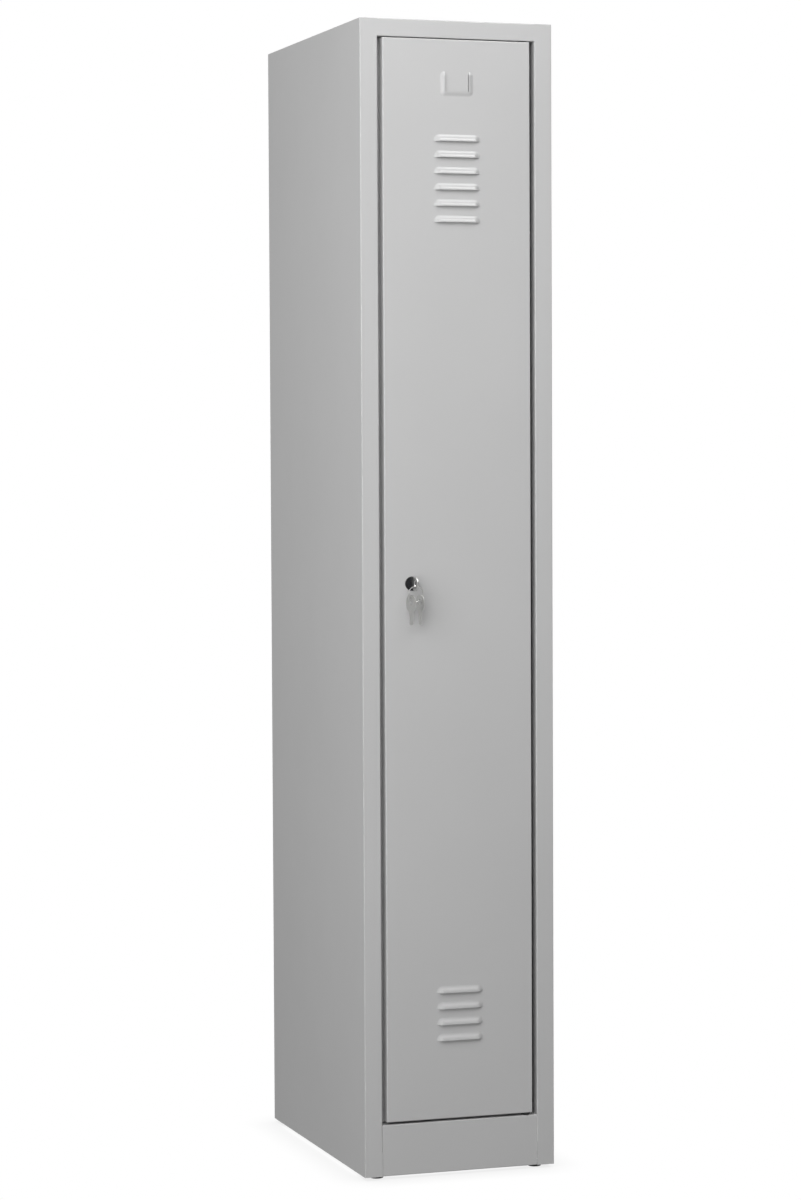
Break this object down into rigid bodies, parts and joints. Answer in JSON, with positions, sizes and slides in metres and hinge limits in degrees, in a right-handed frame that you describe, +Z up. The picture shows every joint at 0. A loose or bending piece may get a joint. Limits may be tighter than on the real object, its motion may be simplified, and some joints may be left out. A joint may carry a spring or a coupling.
{
  "type": "clothing locker",
  "caption": "Tall narrow steel clothing locker with one pivoted door, pressed louvres, a card holder, a cam lock with keys, a hat shelf and a clothes rail.",
  "frame": {"origin": "on the floor, under the middle of the outline that holds the cabinet and the key in front of it", "axes": "+X to the right seen from the front, +Y from the door to the back, +Z up"},
  "size_m": [0.315, 0.53, 1.8],
  "materials": {
    "powder_coat": "light grey powder coat",
    "zinc_steel": "zinc plated",
    "chrome_tube": "bright chrome plate",
    "black_plastic": "matt moulded",
    "buffer_rubber": "soft matt rubber",
    "black_zinc": "black coated zinc casting",
    "dark_steel": "dark nickel",
    "nickel": "nickel plated"
  },
  "bodies": {
    "cabinet": {"left_side_panel": "powder_coat", "right_side_panel": "powder_coat", "back_panel": "powder_coat", "top_panel": "powder_coat", "plinth_panel": "powder_coat", "floor_panel": "powder_coat", "foot_bracket_front_left": "zinc_steel", "foot_bracket_front_right": "zinc_steel", "foot_bracket_rear_left": "zinc_steel", "foot_bracket_rear_right": "zinc_steel", "weld_nuts": "zinc_steel", "hat_shelf": "powder_coat", "shelf_cleat_left": "powder_coat", "shelf_cleat_right": "powder_coat", "rail_hanger_left": "powder_coat", "rail_hanger_right": "powder_coat", "rail_cap_left": "black_plastic", "rail_cap_right": "black_plastic", "clothes_rail": "chrome_tube", "pivot_bush_bottom": "black_plastic", "pivot_bush_top": "black_plastic", "door_buffers": "buffer_rubber"},
    "door": {"door_panel": "powder_coat", "door_stiffener": "powder_coat", "pivot_plate_bottom": "powder_coat", "pivot_plate_top": "powder_coat", "pivot_pin_bottom": "zinc_steel", "pivot_pin_top": "zinc_steel", "lock_housing": "black_zinc", "lock_nut": "zinc_steel"},
    "lock": {"lock_plug": "dark_steel", "lock_cam": "zinc_steel", "cam_screw": "zinc_steel"},
    "key": {"key_in_lock": "nickel"},
    "ring": {"key_ring": "nickel"},
    "spare_left": {"spare_key_left": "nickel"},
    "spare_right": {"spare_key_right": "nickel"},
    "hook_1": {"coat_hook_1": "black_plastic"},
    "hook_2": {"coat_hook_2": "black_plastic"},
    "hook_3": {"coat_hook_3": "black_plastic"},
    "foot_front_left": {"foot_pad_front_left": "black_plastic", "foot_stud_front_left": "zinc_steel"},
    "foot_front_right": {"foot_pad_front_right": "black_plastic", "foot_stud_front_right": "zinc_steel"},
    "foot_rear_left": {"foot_pad_rear_left": "black_plastic", "foot_stud_rear_left": "zinc_steel"},
    "foot_rear_right": {"foot_pad_rear_right": "black_plastic", "foot_stud_rear_right": "zinc_steel"}
  },
  "joints": [
    {"name": "door_swing", "type": "hinge", "parent": "cabinet", "child": "door", "pos_m": [0.112, -0.227, 0.0855], "axis": [0, 0, 1], "range_deg": [0, 110]},
    {"name": "lock_turn", "type": "hinge", "parent": "door", "child": "lock", "pos_m": [-0.077, -0.235, 0.93], "axis": [0, 1, 0], "range_deg": [0, 90]},
    {"name": "key_pull", "type": "slide", "parent": "lock", "child": "key", "axis": [0, -1, 0], "range_m": [0, 0.021]},
    {"name": "ring_hang", "type": "hinge", "parent": "key", "child": "ring", "pos_m": [-0.077, -0.2545, 0.92225], "axis": [0, 1, 0], "range_deg": [-90, 0]},
    {"name": "spare_left_swing", "type": "hinge", "parent": "ring", "child": "spare_left", "pos_m": [-0.08439, -0.2545, 0.90484], "axis": [-0.788, 0, 0.6157], "range_deg": [-8, 40]},
    {"name": "spare_right_swing", "type": "hinge", "parent": "ring", "child": "spare_right", "pos_m": [-0.06961, -0.2545, 0.90484], "axis": [-0.788, 0, -0.6157], "range_deg": [-8, 40]},
    {"name": "hook_1_slide", "type": "slide", "parent": "cabinet", "child": "hook_1", "axis": [1, 0, 0], "range_m": [-0.022, 0.022]},
    {"name": "hook_2_slide", "type": "slide", "parent": "cabinet", "child": "hook_2", "axis": [1, 0, 0], "range_m": [-0.022, 0.022]},
    {"name": "hook_3_slide", "type": "slide", "parent": "cabinet", "child": "hook_3", "axis": [1, 0, 0], "range_m": [-0.022, 0.022]},
    {"name": "foot_front_left_screw", "type": "slide", "parent": "cabinet", "child": "foot_front_left", "axis": [0, 0, -1], "range_m": [-0.0075, 0.01]},
    {"name": "foot_front_right_screw", "type": "slide", "parent": "cabinet", "child": "foot_front_right", "axis": [0, 0, -1], "range_m": [-0.0075, 0.01]},
    {"name": "foot_rear_left_screw", "type": "slide", "parent": "cabinet", "child": "foot_rear_left", "axis": [0, 0, -1], "range_m": [-0.0075, 0.01]},
    {"name": "foot_rear_right_screw", "type": "slide", "parent": "cabinet", "child": "foot_rear_right", "axis": [0, 0, -1], "range_m": [-0.0075, 0.01]}
  ],
  "couplings": [
    {"joint": "ring_hang", "follows": "lock_turn", "ratio": -1}
  ]
}
